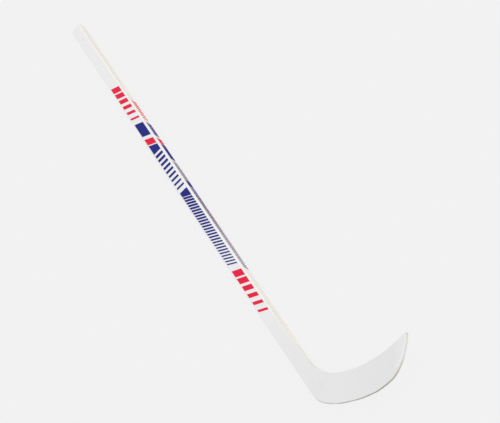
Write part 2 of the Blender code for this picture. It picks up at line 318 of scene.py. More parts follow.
def colour(code):
    """sRGB hex code as the linear colour that a socket takes."""
    values = [int(code[i:i + 2], 16) / 255 for i in (0, 2, 4)]
    linear = [((c + 0.055) / 1.055) ** 2.4 if c > 0.04045 else c / 12.92 for c in values]
    return (*linear, 1.0)


def connect(tree, node, inputs):
    """Put values, hex colours, nodes or their sockets on a node's inputs, by name or by place."""
    for name, value in inputs.items() if isinstance(inputs, dict) else enumerate(inputs):
        socket = node.inputs[name]
        if isinstance(value, bpy.types.Node):
            value = value.outputs[0]
        if isinstance(value, bpy.types.NodeSocket):
            tree.links.new(value, socket)
        else:
            socket.default_value = colour(value) if socket.type == "RGBA" else value


def add(tree, kind, inputs=(), **settings):
    """Add a node with its settings and its inputs."""
    node = tree.nodes.new(kind)
    for name, value in settings.items():
        setattr(node, name, value)
    connect(tree, node, inputs)
    return node


def finish_of(name, roughness, coat=0.0, specular=0.5):
    """Material with the shader of its surface."""
    material = bpy.data.materials.new(name)
    material.use_nodes = True
    tree = material.node_tree
    shader = tree.nodes["Principled BSDF"]
    connect(tree, shader, {"Roughness": roughness, "Specular IOR Level": specular,
                           "Coat Weight": coat, "Coat Roughness": 0.25})
    return material, tree, shader


def unpressed(tree):
    """Place on the stick before its blade was pressed to its curve, which patterns follow."""
    return add(tree, "ShaderNodeAttribute", attribute_name="plan").outputs["Vector"]


def coated(tree, ground, *coats):
    """Colour of a ground under coats, each given as its share of cover and its colour."""
    for cover, paint in coats:
        mix = add(tree, "ShaderNodeMix", {0: cover, 6: ground, 7: paint}, data_type="RGBA")
        ground = mix.outputs[2]
    return ground


def fibres(tree, place, length, width, scale=1.0, detail=2):
    """Noise drawn out along the first axis, in units of a fibre's length and width."""
    drawn_out = add(tree, "ShaderNodeMapping", {"Vector": place,
                                                "Scale": (1 / length, 1 / width, 1 / width)})
    return add(tree, "ShaderNodeTexNoise", {"Vector": drawn_out, "Scale": scale, "Detail": detail})


def from_heel(tree, plan):
    """Distance along the sole's line and over it."""
    turned = add(tree, "ShaderNodeMapping", {"Vector": plan, "Location": (*HEEL, 0),
                                             "Rotation": (0, 0, LIE)}, vector_type="TEXTURE")
    split = add(tree, "ShaderNodeSeparateXYZ", (turned,))
    return split.outputs["X"], split.outputs["Y"]


def ramped(tree, *ramps, share=1.0, rise="LINEAR"):
    """A share times ramps, each a value with the two levels between which it goes from 0 to 1."""
    for value, (start, end) in ramps:
        ramp = add(tree, "ShaderNodeMapRange", {"Value": value, "From Min": start, "From Max": end},
                   interpolation_type=rise)
        share = add(tree, "ShaderNodeMath", (share, ramp), operation="MULTIPLY")
    return share


def bare_share(tree, plan):
    """0 under the lap of white paint and 1 past it, with a soft and slightly wavy border."""
    depth = add(tree, "ShaderNodeAttribute", attribute_name="bare_depth").outputs["Fac"]
    ripple = add(tree, "ShaderNodeTexNoise", {"Vector": plan, "Scale": 1 / LAP_WAVE, "Detail": 2})
    centred = add(tree, "ShaderNodeMath", (ripple, 0.5), operation="SUBTRACT")
    moved = add(tree, "ShaderNodeMath", (centred, 2 * LAP_WANDER, depth), operation="MULTIPLY_ADD")
    return ramped(tree, (moved, (-LAP_SOFTNESS, LAP_SOFTNESS)), rise="SMOOTHSTEP")


def cross_cut_share(tree, plan):
    """1 in the inner corner, where the edge is sawn across the grain; there its colour is darker."""
    along = add(tree, "ShaderNodeSeparateXYZ", (plan,)).outputs["X"]
    return ramped(tree, (along, CROSS_CUT), rise="SMOOTHSTEP")


def soft_spot(tree, plan, centre, size, core, strength=1.0):
    """Share of a round spot, at its strength out to its core and nothing at its rim."""
    scaled = add(tree, "ShaderNodeMapping", {"Vector": plan, "Location": centre, "Scale": size},
                 vector_type="TEXTURE")
    distance = add(tree, "ShaderNodeVectorMath", (scaled,), operation="LENGTH").outputs["Value"]
    return ramped(tree, (distance, (1.0, core)), share=strength, rise="SMOOTHSTEP")


HEEL_RIM_SHADE = "C7C3C7"               # painted shade on the heel's rounded rim, which faces down away from the light
HEEL_SHADE_WIDTH = 0.0016           # on the wide face, at the heel's corner
HEEL_SHADE_START = (-0.030, -0.010)         # along the sole
HEEL_SHADE_NARROWS = (0.010, 0.045)         # along the sole, from the corner's width to the rim alone
HEEL_SHADE_END = (0.0350, 0.0335)
HEEL_SHADE_HEIGHT = (0.050, 0.030)          # over the sole


def heel_rim_shade(tree, plan):
    """Share of painted shade along the rim of the heel's round, which faces down away from the light."""
    along, over = from_heel(tree, plan)
    depth = add(tree, "ShaderNodeAttribute", attribute_name="bare_depth").outputs["Fac"]
    narrowed = ramped(tree, (along, HEEL_SHADE_NARROWS), share=-HEEL_SHADE_WIDTH)
    moved = add(tree, "ShaderNodeMath", (depth, narrowed))
    return ramped(tree, (moved, (-HEEL_LAP - HEEL_SHADE_WIDTH, -HEEL_LAP)), (along, HEEL_SHADE_START),
                  (along, HEEL_SHADE_END), (over, HEEL_SHADE_HEIGHT))


EDGE_PAINT_LIT = ("EFEEEB", "E4E3DE")      # whiter than the faces as a painted highlight on the rounded edges and painted light on the floor-shaded lower corner, at butt and blade
# along the shaft, where the edges' painted highlight dims
EDGE_HIGHLIGHT_CHANGE = (1.15, 1.28)
STAIN_DEPTH = 0.020
STAIN_CORE = 0.6               # share of a stain's size that has its full colour


def edge_paint_and_light(tree, plan):
    """Colour of the paint on the edges, whiter than the faces as a painted highlight and greyer towards
    the blade as a dimmer painted highlight, with the heel rim's painted shade.
    """
    along = add(tree, "ShaderNodeSeparateXYZ", (plan,)).outputs["X"]
    return coated(tree, EDGE_PAINT_LIT[0], (ramped(tree, (along, EDGE_HIGHLIGHT_CHANGE)), EDGE_PAINT_LIT[1]),
                  (heel_rim_shade(tree, plan), HEEL_RIM_SHADE))


def lacquered_wood(name, light, dark, turn=0.0, contrast=0.22, cross_cut=None, above=None, stains=()):
    """Planed wood under clear satin lacquer: long soft streaks of grain and short fine pores.

    The eye gets a warm, slightly uneven colour with darker threads along the grain, darker
    towards the forehand face and paler towards the backhand. turn is the grain's direction
    about +Z, and cross_cut the colour of the inner corner's sawn edge. above is a paler colour
    over the sole, painted light where the toe's edge turns up to the light, and the two heights
    between which the wood takes it on. stains have their place along and over the sole, size
    and colour.
    """
    material, tree, shader = finish_of(name, 0.45, coat=0.35)
    plan = unpressed(tree)
    turned = add(tree, "ShaderNodeMapping", {"Vector": plan, "Rotation": (0, 0, -turn)})
    streaks = fibres(tree, turned, GRAIN_LENGTH, GRAIN_WIDTH, scale=0.7)
    pores = fibres(tree, turned, GRAIN_LENGTH, GRAIN_WIDTH, scale=4, detail=1)
    streaked = ramped(tree, (streaks, (0.3, 0.75)), share=contrast)
    speckled = ramped(tree, (pores, (0.60, 0.75)), share=contrast * 0.2)
    grain = add(tree, "ShaderNodeMath", (streaked, speckled))
    height = add(tree, "ShaderNodeSeparateXYZ", (plan,)).outputs["Z"]
    # darker towards the forehand face, paler towards the backhand
    forehand_darkening = add(tree, "ShaderNodeMapRange", {
        "Value": height, "From Min": -HALF_THICKNESS, "From Max": HALF_THICKNESS,
        "To Min": 0.06, "To Max": 0.66})
    coats = [(add(tree, "ShaderNodeMath", (grain, forehand_darkening), use_clamp=True), dark)]
    if cross_cut:
        coats.append((cross_cut_share(tree, plan), cross_cut))
    if above:
        paler, *heights = above
        coats.append((ramped(tree, (from_heel(tree, plan)[1], heights)), paler))
    for along, over, size, code in stains:
        centre = (*on_sole(along, over), 0)
        coats.append((soft_spot(tree, plan, centre, (size, size, STAIN_DEPTH), STAIN_CORE), code))
    wood = coated(tree, light, *coats)
    painted = coated(tree, edge_paint_and_light(tree, plan), (bare_share(tree, plan), wood))
    raised = add(tree, "ShaderNodeBump", {"Height": pores, "Strength": 0.12, "Distance": 0.00005})
    connect(tree, shader, {"Base Color": painted, "Normal": raised})
    return material


def saw_slot(core, end):
    """Saw the fork's slot through both narrow sides and out of the lower end."""
    length = end - TONGUE_START + 2 * HALF_WIDTH
    middle = (TONGUE_START - GLUE_LINE + length / 2, 0, 0)
    cut = Matrix.LocRotScale(middle, None, (length, 4 * HALF_WIDTH, 2 * SLOT_HALF))
    mesh = bpy.data.meshes.new("slot_saw")
    shape = bmesh.new()
    bmesh.ops.create_cube(shape, size=1.0, matrix=cut)
    shape.to_mesh(mesh)
    shape.free()
    saw = placed("slot_saw", mesh)
    slot = core.modifiers.new("slot", "BOOLEAN")
    slot.operation = "DIFFERENCE"
    slot.solver = "EXACT"
    slot.object = saw
    settle(core)
    bpy.data.objects.remove(saw)


def settle(made):
    """Turn what the modifiers give into the piece's plain mesh."""
    seen = made.evaluated_get(bpy.context.evaluated_depsgraph_get())
    mesh = bpy.data.meshes.new_from_object(seen)
    made.modifiers.clear()
    made.data = mesh


def straight_edges(start, end, count):
    """Heel-side and toe-side edge of a layer as wide as the plain shaft."""
    x = np.linspace(start, end, count)
    if start == 0:
        x = np.concatenate(((0, BUTT_EASE), x[1:]))
    return [np.stack((x, np.full(len(x), y)), -1) for y in (-HALF_WIDTH, HALF_WIDTH)]


def joined(*stretches):
    """Edges of stretches that follow each other."""
    return [np.concatenate(edges) for edges in zip(*stretches)]


def planed_edges(end):
    """Edges of a layer of the shaft that the taper planes away."""
    plain = straight_edges(0, TAPER_START - STATION_GAP, 30)
    return joined(plain, straight_edges(TAPER_START, end, 40))


aspen = lacquered_wood("lacquered_aspen", "EDEAE1", "DBD6C9")
core_end = taper_place(SLOT_HALF + FEATHER + SKIN_DEPTH)
shaft_core = layer("shaft_core_aspen", planed_edges(core_end),
                   top=lambda half: np.minimum(CORE_TOP, half - SKIN_DEPTH))
saw_slot(shaft_core, core_end)
fit(shaft_core, aspen, "aspen_core", "shaft_core")

# Plies
# Three-veneer birch ply glued on both wide faces of the core and planed away to nothing in
# the taper. Its edges show as thin lines along the narrow sides, the middle veneer darker.
VENEER = PLY_THICKNESS / 3
END_GRAIN_PORE = 1 / 900       # drawn coarser than it is, so that it shows
FACES = (("forehand", 1), ("backhand", -1))


def birch_ply():
    """Lacquered birch ply: the middle veneer shows end grain, so its line is browner."""
    material, tree, shader = finish_of("lacquered_birch_ply", 0.45, coat=0.35)
    plan = unpressed(tree)
    height = add(tree, "ShaderNodeSeparateXYZ", (plan,)).outputs["Z"]
    height = add(tree, "ShaderNodeMath", (height,), operation="ABSOLUTE")
    lifted = add(tree, "ShaderNodeMath", (height, PLY_BOTTOM + 1.5 * VENEER), operation="SUBTRACT")
    distance = add(tree, "ShaderNodeMath", (lifted,), operation="ABSOLUTE")
    inside = ramped(tree, (distance, (VENEER * 0.55, VENEER * 0.45)))
    streaks = fibres(tree, plan, GRAIN_LENGTH, GRAIN_WIDTH)
    face_veneer = coated(tree, "EFECE3", (streaks, "E5DFD0"))
    pores = add(tree, "ShaderNodeTexNoise", {"Vector": plan, "Scale": 1 / END_GRAIN_PORE, "Detail": 1})
    end_grain = coated(tree, "EAE4D6", (pores, "DED4BE"))
    wood = coated(tree, face_veneer, (inside, end_grain))
    painted = coated(tree, edge_paint_and_light(tree, plan), (bare_share(tree, plan), wood))
    connect(tree, shader, {"Base Color": painted})
    return material


ply_wood = birch_ply()
ply_end = taper_place(PLY_BOTTOM + FEATHER + SKIN_DEPTH)
for face, side in FACES:
    ply = layer(f"shaft_ply_{face}_birch", planed_edges(ply_end), side=side,
                top=lambda half: np.minimum(PLY_TOP, half - SKIN_DEPTH),
                bottom=lambda half: np.full(half.shape, PLY_BOTTOM))
    fit(ply, ply_wood, "birch_ply", f"shaft_ply_{face}")

# Heel blocks
# Slim wedges of birch glued on both edges of the fork, which widen the shaft towards the
# heel. They are rounded over with it, and the toe-side one starts the round inner corner.
FLARE = 0.0024
FLARE_LENGTH = 0.053
CORNER_REACH = 0.125           # how far above the heel the inner corner starts
FLARE_END = SHAFT_LENGTH - CORNER_REACH
FLARE_START = FLARE_END - FLARE_LENGTH
FAN_END = 0.050                # where the inner corner ends, measured along the sole
BLOCK_FEATHER = 0.00005        # a block starts this thin
CROSS_CUT_WOOD = "DDDBD2"

WIDE_HALF = HALF_WIDTH + FLARE
CENTRE_HEIGHT = (SHAFT_LENGTH + FAN_END * math.cos(LIE) - FLARE_END) / math.sin(LIE)
FAN_CENTRE = on_sole(FAN_END, CENTRE_HEIGHT)
FAN_RADIUS = FAN_CENTRE[1] - WIDE_HALF


def half_width(x):
    return blend(HALF_WIDTH, WIDE_HALF, ease(x, FLARE_START, FLARE_END))


def toe_side_edge(x):
    """Toe-side edge of the shaft, on into the round inner corner."""
    reach = np.maximum(x - FAN_CENTRE[0], 0)
    corner = FAN_CENTRE[1] - np.sqrt(FAN_RADIUS ** 2 - reach ** 2)
    return np.where(x <= FLARE_END, half_width(x), corner)


def flared_edges(start, count):
    """Heel-side and toe-side edge of the lower shaft, from a start to the blocks' feet."""
    x = np.linspace(start, BLOCK_END, count)
    return np.stack((x, -half_width(x)), -1), np.stack((x, toe_side_edge(x)), -1)


block_wood = lacquered_wood("lacquered_birch", "EDEAE1", "DBD6C9", cross_cut=CROSS_CUT_WOOD)
block_start = ease_place((GLUE_LINE + BLOCK_FEATHER) / FLARE, FLARE_START, FLARE_END)
outer_heel, outer_toe = flared_edges(block_start, 50)
glued = np.stack((outer_toe[:, 0], np.full(len(outer_toe), HALF_WIDTH + GLUE_LINE)), -1)
for place, edges, rounded in (("toe_side", (glued, outer_toe), (0, 1)),
                              ("heel_side", (outer_heel, glued * (1, -1)), (1, 0))):
    block = layer(f"heel_block_{place}_birch", edges, top=lambda half: half - SKIN_DEPTH,
                  rounded=rounded)
    fit(block, block_wood, "heel_block_wood", f"heel_block_{place}")

# Blade core
# Three strips edge-glued along the blade and sawn to its outline: a hard brown strip that
# takes the wear along the sole, then two pale ones. The sole strip and the middle one are
# made darker than their wood as painted shade, where the edge faces down away from the
# light, and their colour pales up the toe's round as painted light where it turns to the
# light. The top one runs up into the shaft's fork as the tongue. Only their edges show,
# between the two glass skins.
ROCKER_RADIUS = 0.950
HEEL_ROCKER_RADIUS = 0.840     # the sole rises a little faster towards the heel
ROCKER_CENTRE = 0.127
TOP_RISE = 0.016
TOP_POWER = 1.5
TOE_RADIUS = 0.072
TOE_POWER = 2.2                # 2 would be an ellipse, more is fuller
TOE_DROP = 0.009               # straight stretch from the tip down to the toe's round
TIP_RADIUS = 0.007
HEEL_SHARPNESS = 29.0
LOW_JOINT = 0.025              # glue lines between the strips, over the sole
HIGH_JOINT = 0.047
SOLE_TRIM = 0.0010             # sanded off the plain arc of the sole in its middle
SOLE_TRIM_START = (FAN_END, 0.080)     # along the sole, from none to all of it
SOLE_TRIM_END = (0.180, 0.145)
TOP_TRIM = 0.0014              # and off the top line between the inner corner and the tip
TOP_TRIM_START = (FAN_END, 0.090)
TOP_TRIM_END = (0.302, 0.262)
CORE_INSET = 0.00005           # brings the core flush with the skins' rims
STRIP_POINT = 0.00005          # a strip starts and ends this narrow
HEEL_ROUND = (math.radians(28), math.radians(42))       # seen from the inner corner's centre
FIRST_STEP = 0.0002            # the first ring past the blocks' feet, as an angle
BLADE_STATIONS = 70            # along the sole, and again round the toe
# Stains in the bare wood: two at the tip, one where the sole's wood begins behind the heel
STAINS = (
    (0.3120, 0.0770, 0.0042, "C2B9BE"),
    (0.3140, 0.0695, 0.0038, "D6C9A4"),
    (0.0460, 0.0035, 0.0150, "857A74"))


def from_fan_centre(angle, reach):
    return FAN_CENTRE + np.stack((np.sin(angle), -np.cos(angle)), -1) * reach


def heel_point(angle):
    """Outer points on rays from the inner corner's centre, 0 square to the shaft.

    The shaft's edge and the rocker, where each ray meets them, pass into each other.
    """
    lean = LIE - angle
    to_edge = (FAN_CENTRE[1] + WIDE_HALF) / np.cos(angle)
    a = np.sin(lean) ** 2 / (2 * HEEL_ROCKER_RADIUS)
    b = np.cos(lean) - np.sin(lean) * (FAN_END - ROCKER_CENTRE) / HEEL_ROCKER_RADIUS
    c = (FAN_END - ROCKER_CENTRE) ** 2 / (2 * HEEL_ROCKER_RADIUS) - CENTRE_HEIGHT
    to_sole = -2 * c / (b + np.sqrt(b * b - 4 * a * c))
    reach = (to_edge ** -HEEL_SHARPNESS + to_sole ** -HEEL_SHARPNESS) ** (-1 / HEEL_SHARPNESS)
    return from_fan_centre(angle, reach[:, None])


def heel_edges():
    """Heel round and inner corner, from the blocks' feet to the blade."""
    outer_start = math.atan((BLOCK_END - FAN_CENTRE[0]) / (FAN_CENTRE[1] + WIDE_HALF))
    inner_start = math.asin((BLOCK_END - FAN_CENTRE[0]) / FAN_RADIUS)
    start, end = HEEL_ROUND
    outer = np.concatenate(((outer_start + FIRST_STEP,), np.linspace(outer_start, start, 20)[1:-1],
                            np.linspace(start, end, 60)[:-1], np.linspace(end, LIE, 10)))
    inner = blend(inner_start, LIE, (outer - outer_start) / (LIE - outer_start))
    return heel_point(outer), from_fan_centre(inner, FAN_RADIUS)


def sole_height(u):
    trim = SOLE_TRIM * ease(u, *SOLE_TRIM_START) * ease(u, *SOLE_TRIM_END)
    radius = np.where(u < ROCKER_CENTRE, HEEL_ROCKER_RADIUS, ROCKER_RADIUS)
    return (u - ROCKER_CENTRE) ** 2 / (2 * radius) + trim


def top_height(u):
    share = np.maximum(u - FAN_END, 0) / (BLADE_LENGTH - FAN_END)
    trim = TOP_TRIM * ease(u, *TOP_TRIM_START) * ease(u, *TOP_TRIM_END)
    height = CENTRE_HEIGHT - FAN_RADIUS + TOP_RISE * share ** TOP_POWER - trim
    into_tip = np.maximum(u - (BLADE_LENGTH - TIP_RADIUS), 0)
    return height - (TIP_RADIUS - np.sqrt(np.maximum(TIP_RADIUS ** 2 - into_tip ** 2, 0)))


toe_start = BLADE_LENGTH - TOE_RADIUS
toe_end_height = top_height(BLADE_LENGTH) + TIP_RADIUS - TOE_DROP


def blade_edges():
    """Sole with its rocker, then the toe's round; top line with the tip's round."""
    straight = np.linspace(FAN_END, toe_start, BLADE_STATIONS)[1:]
    turn = np.linspace(0, math.pi / 2, BLADE_STATIONS)[1:]
    run = TOE_RADIUS * np.sin(turn) ** (2 / TOE_POWER)
    line = sole_height(toe_start) + run * (toe_start - ROCKER_CENTRE) / ROCKER_RADIUS
    toe = toe_end_height - (toe_end_height - line) * np.abs(np.cos(turn)) ** (2 / TOE_POWER)
    u = np.concatenate((straight, toe_start + run))
    v = np.concatenate((sole_height(straight), toe))
    return on_sole(u, v), on_sole(u, top_height(u))


def with_corners(outer, inner, level):
    """The same edges with a station wherever the outer one passes a level over the sole."""
    height = over_sole(outer)
    for i in np.nonzero((height[:-1] > level) != (height[1:] > level))[0][::-1]:
        share = (height[i] - level) / (height[i] - height[i + 1])
        outer, inner = [np.insert(edge, i + 1, blend(*edge[i:i + 2], share), axis=0)
                        for edge in (outer, inner)]
    return outer, inner


def strip_edges(low, high):
    """Part of the blade's plan between two glue lines along it."""
    outer, inner = joined(heel_edges(), blade_edges())
    outer = outer + inward(outer, 1) * CORE_INSET
    inner = inner + inward(inner, -1) * CORE_INSET
    for level in (low + GLUE_LINE / 2, high - GLUE_LINE / 2 - STRIP_POINT):
        outer, inner = with_corners(outer, inner, level)
    outer_height = over_sole(outer)
    inner_height = over_sole(inner)
    bottom = np.maximum(outer_height, low + GLUE_LINE / 2)
    top = np.minimum(inner_height, high - GLUE_LINE / 2)
    rise = (inner - outer) / (inner_height - outer_height)[:, None]
    kept = top - bottom > STRIP_POINT / 2
    edges = [outer + rise * (height - outer_height)[:, None] for height in (bottom, top)]
    return [edge[kept] for edge in edges]


# painted shade: the sole and middle strips are darker than their wood, and they pale with height up the
# toe's round as painted light
sole_wood_and_shade = lacquered_wood("lacquered_ash_sole_shaded", "BDB5A8", "9C9283", turn=LIE, contrast=0.9,
                           above=("D2CBC0", 0.003, 0.022), stains=STAINS)
middle_wood_and_shade = lacquered_wood("lacquered_aspen_middle_shaded", "D2CBC0", "C2BAAC", turn=LIE,
                             above=("EBE8E1", 0.029, 0.041))
top_wood = lacquered_wood("lacquered_aspen_blade", "F0EDE5", "E5DFD2", turn=LIE,
                          cross_cut=CROSS_CUT_WOOD, stains=STAINS)
tongue = straight_edges(TONGUE_START, BLOCK_END, 3)
for place, edges, wood in (
        ("sole", strip_edges(-math.inf, LOW_JOINT), sole_wood_and_shade),
        ("middle", strip_edges(LOW_JOINT, HIGH_JOINT), middle_wood_and_shade),
        ("top", joined(tongue, strip_edges(HIGH_JOINT, math.inf)), top_wood)):
    strip = layer(f"blade_strip_{place}_wood", edges, rounded=(0, 0),
                  top=lambda half: np.minimum(half, ROOT_THICKNESS / 2) - SKIN_DEPTH)
    fit(strip, wood, "blade_core_wood", f"blade_strip_{place}")

# Glass facings
# Woven glass cloth set in resin on both wide faces of the shaft and rubbed down, then
# sprayed with white satin paint that stops past the rounded edges. The grain of the ply, a
# knot and the threads of the cloth still show faintly through the paint.
THREAD = 0.0012                # from one thread of the shaft's cloth to the next
FIBRE_LENGTH = 0.140
FIBRE_WIDTH = 0.0026
WAVE_LENGTH = math.pi / 10     # of the wave texture at scale 1; a wave has two threads
CLOUD = 0.070
PAINT_COLOURS = ("ECEBEC", "EAE9EA")
# paint darker towards the blade: painted shade where the light falls off
BLADE_PAINT_SHADED = ("E5E5E6", "E3E3E4")
BLADE_SHADE_CHANGE = (1.18, 1.46)
# painted highlight on the toe's curved face
TOE_HIGHLIGHT_PAINT = "F4F4F6"
LAMINATE = "E9E6DA"                    # glass and resin, where no paint covers them
LAMINATE_CROSS_CUT = "D2D0C6"
MARK_COLOUR = "C6C6C8"
MARK_DEPTH = 0.008
MARK_CORE = 0.2                        # share of a mark's size that has its full strength
PAINT_MARKS = (                        # x, y, half length, half width, strength
    (0.0595, -0.0005, 0.0050, 0.0040, 0.30),
    (0.0766, -0.0025, 0.0160, 0.0030, 0.15),
    (1.3086, -0.0031, 0.0036, 0.0032, 0.20),
    (1.3136, -0.0057, 0.0046, 0.0034, 0.20),
    (1.4383, -0.0005, 0.0170, 0.0050, 0.10),
    (1.4590, 0.0110, 0.0150, 0.0130, 0.09))
# Share of the toe's painted highlight at a reach from the centre of the toe's round, and
# where it starts along and over it, in units of the round; then its share on the toe's face
TOE_HIGHLIGHT = ((0.00, 0.0), (0.70, 0.0), (0.80, 0.12), (0.90, 0.36), (1.0, 0.66))
TOE_HIGHLIGHT_START = ((0.15, 0.5), (-0.98, -0.75))
TOE_HIGHLIGHT_SHARE = 0.27
TOE_HIGHLIGHT_SHARE_START = ((0.20, 0.42), (-0.75, -0.35))


def painted_cloth(name, thread, turn):
    """White satin paint over glass cloth: a soft low weave and faint fibres show through.

    thread is the spacing of the cloth's threads, and turn is their direction about +Z.
    """
    material, tree, shader = finish_of(name, 0.38)
    plan = unpressed(tree)
    turned = add(tree, "ShaderNodeMapping", {"Vector": plan, "Rotation": (0, 0, -turn)})
    cloud = add(tree, "ShaderNodeTexNoise", {"Vector": plan, "Scale": 1 / CLOUD, "Detail": 2})
    streaks = fibres(tree, turned, FIBRE_LENGTH, FIBRE_WIDTH)
    uneven = add(tree, "ShaderNodeMath", (cloud, streaks), operation="MULTIPLY")
    along = add(tree, "ShaderNodeSeparateXYZ", (plan,)).outputs["X"]
    # towards the blade the paint darkens as painted shade
    paint = coated(tree, coated(tree, PAINT_COLOURS[0], (uneven, PAINT_COLOURS[1])),
                   (ramped(tree, (along, BLADE_SHADE_CHANGE)),
                    coated(tree, BLADE_PAINT_SHADED[0], (uneven, BLADE_PAINT_SHADED[1]))),
                   # a painted highlight on the toe's round
                   (toe_highlight(tree, plan), TOE_HIGHLIGHT_PAINT), (marks(tree, plan), MARK_COLOUR),
                   # painted shade on the heel's rim
                   (heel_rim_shade(tree, plan), HEEL_RIM_SHADE))
    laminate = coated(tree, LAMINATE, (cross_cut_share(tree, plan), LAMINATE_CROSS_CUT))
    surface = coated(tree, paint, (bare_share(tree, plan), laminate))
    waves = [add(tree, "ShaderNodeTexWave", {"Vector": turned, "Scale": WAVE_LENGTH / (2 * thread),
                                             "Distortion": 0.4, "Detail Scale": 1.0},
                 bands_direction=axis).outputs["Fac"] for axis in ("X", "Y")]
    weave = add(tree, "ShaderNodeMath", waves, operation="MULTIPLY")
    relief = add(tree, "ShaderNodeMath", (streaks, 0.6, weave), operation="MULTIPLY_ADD")
    raised = add(tree, "ShaderNodeBump", {"Height": relief, "Strength": 0.3, "Distance": 0.00004})
    sheen = add(tree, "ShaderNodeMapRange", {"Value": cloud, "To Min": 0.34, "To Max": 0.46})
    connect(tree, shader, {"Base Color": surface, "Normal": raised, "Roughness": sheen})
    return material


def marks(tree, plan):
    """Share of soft round marks in the paint of the forehand face."""
    total = 0.0
    for x, y, half_length, half_breadth, strength in PAINT_MARKS:
        centre = (x, y, half_thickness(np.array((x, y))))
        spot = soft_spot(tree, plan, centre, (half_length, half_breadth, MARK_DEPTH), MARK_CORE, strength)
        total = add(tree, "ShaderNodeMath", (total, spot), operation="MAXIMUM")
    return total


def toe_highlight(tree, plan):
    """Share of a painted highlight: whiter paint on the upper part of the toe's round, where the curved
    face catches the light.
    """
    centre = on_sole(toe_start, toe_end_height)
    drop = toe_end_height - sole_height(BLADE_LENGTH)
    scaled = add(tree, "ShaderNodeMapping", {
        "Vector": plan, "Location": (*centre, 0), "Rotation": (0, 0, LIE),
        "Scale": (TOE_RADIUS, drop, 1.0)}, vector_type="TEXTURE")
    reach = add(tree, "ShaderNodeVectorMath", (scaled,), operation="LENGTH").outputs["Value"]
    highlight_ramp = add(tree, "ShaderNodeValToRGB", (reach,))
    stops = highlight_ramp.color_ramp.elements
    for place, amount in TOE_HIGHLIGHT:
        ends = {0.0: stops[0], 1.0: stops[-1]}
        stop = ends[place] if place in ends else stops.new(place)
        stop.color = (amount, amount, amount, 1)
    split = add(tree, "ShaderNodeSeparateXYZ", (scaled,)).outputs
    shares = [ramped(tree, (split["X"], along), (split["Y"], over), share=share)
              for share, (along, over) in ((highlight_ramp, TOE_HIGHLIGHT_START), (TOE_HIGHLIGHT_SHARE, TOE_HIGHLIGHT_SHARE_START))]
    return add(tree, "ShaderNodeMath", shares, operation="MAXIMUM")


facing_paint = painted_cloth("painted_glass_cloth", THREAD, 0.0)
for face, side in FACES:
    facing = layer(f"shaft_facing_{face}_cloth", straight_edges(0, TAPER_START, 40), side=side,
                   top=lambda half: half, bottom=lambda half: half - FACING_THICKNESS)
    fit(facing, facing_paint, "glass_facing", f"shaft_facing_{face}")

# Blade skins
# A heavier woven glass sock drawn over the taper, the heel joint and both faces of the
# blade, with its threads along the sole. Its rims are rounded over along every edge, and
# it has the same white satin paint as the facings, darker towards the blade as painted
# shade where the light falls off.
ROVING = 0.0024                # from one roving of the sock to the next

skin_paint = painted_cloth("painted_glass_roving", ROVING, LIE)
skin_edges = joined(flared_edges(TAPER_START, 60), heel_edges(), blade_edges())
for face, side in FACES:
    skin = layer(f"blade_skin_{face}_cloth", skin_edges, side=side,
                 top=lambda half: half, bottom=lambda half: half - FACING_THICKNESS)
    fit(skin, skin_paint, "glass_skin", f"blade_skin_{face}")

# Printed stripes
# Plain slanted bars screen-printed in navy, red and a greyish violet on all four sides of
# the shaft, on the paint of the wide faces and on the lacquered wood of the narrow ones. A
# row of bars gets thinner towards the heel, so that it fades out.
INK_FILM = 0.00003
HATCH_PITCH = 0.01031
WIDE_PRINT = (-0.0111, 0.0121)      # across the face, from heel side to toe side
NARROW_PRINT = (-0.0030, 0.0090)    # down the narrow side, and round the backhand corner
BAR_POINTS = 25                     # across the face, so that a bar bends round the corner
# Each row: its ink, then its inputs. A slant is how far a bar's near or far end leans along
# the shaft for each metre across.
ROW_INPUTS = ("Start", "Pitch", "Count", "First Width", "Last Width", "Slant", "End Slant")
WIDE_ROWS = (
    ("red", 0.284, 0.0270, 6, 0.0215, 0.0080, 0.90, 0.90),
    ("navy", 0.4471, 0.0, 1, 0.0536, 0.0536, 0.94, 0.96),
    ("red", 0.5132, 0.0, 1, 0.0238, 0.0238, 0.98, 0.98),
    ("navy", 0.5407, 0.0, 1, 0.0370, 0.0370, 0.98, 0.34),
    ("navy", 0.5850, 0.0168, 9, 0.0098, 0.0066, 0.34, 0.34),
    ("navy", 0.7398, 0.0, 1, 0.0153, 0.0153, 0.34, 1.00),
    ("navy", 0.7569, HATCH_PITCH, 26, 0.0079, 0.0046, 1.02, 1.02),
    ("red", 1.042, 0.0278, 6, 0.0222, 0.0080, 0.90, 0.90))
NARROW_ROWS = (
    ("red", 0.371, 0.0150, 6, 0.0100, 0.0075, 0.75, 0.75),
    ("navy", 0.4695, 0.0118, 5, 0.0104, 0.0104, 0.75, 0.75),
    ("red", 0.5365, 0.0, 1, 0.0250, 0.0250, 0.75, 0.75),
    ("navy", 0.5640, 0.0, 1, 0.0665, 0.0665, 0.75, 0.75),
    ("violet", 0.638, 0.0082, 10, 0.0057, 0.0057, 0.75, 0.75),
    ("navy", 0.7190, 0.0, 1, 0.0260, 0.0260, 0.60, 0.60),
    ("navy", 0.7470, 0.0074, 5, 0.0056, 0.0056, 0.75, 0.75),
    ("violet", 0.7835, HATCH_PITCH, 27, 0.0088, 0.0054, 0.75, 0.75))
SIDE_INPUTS = ("Low Edge", "Print Height", "Face Distance", "Round Start", "Round Radius", "Turn", "Ink")


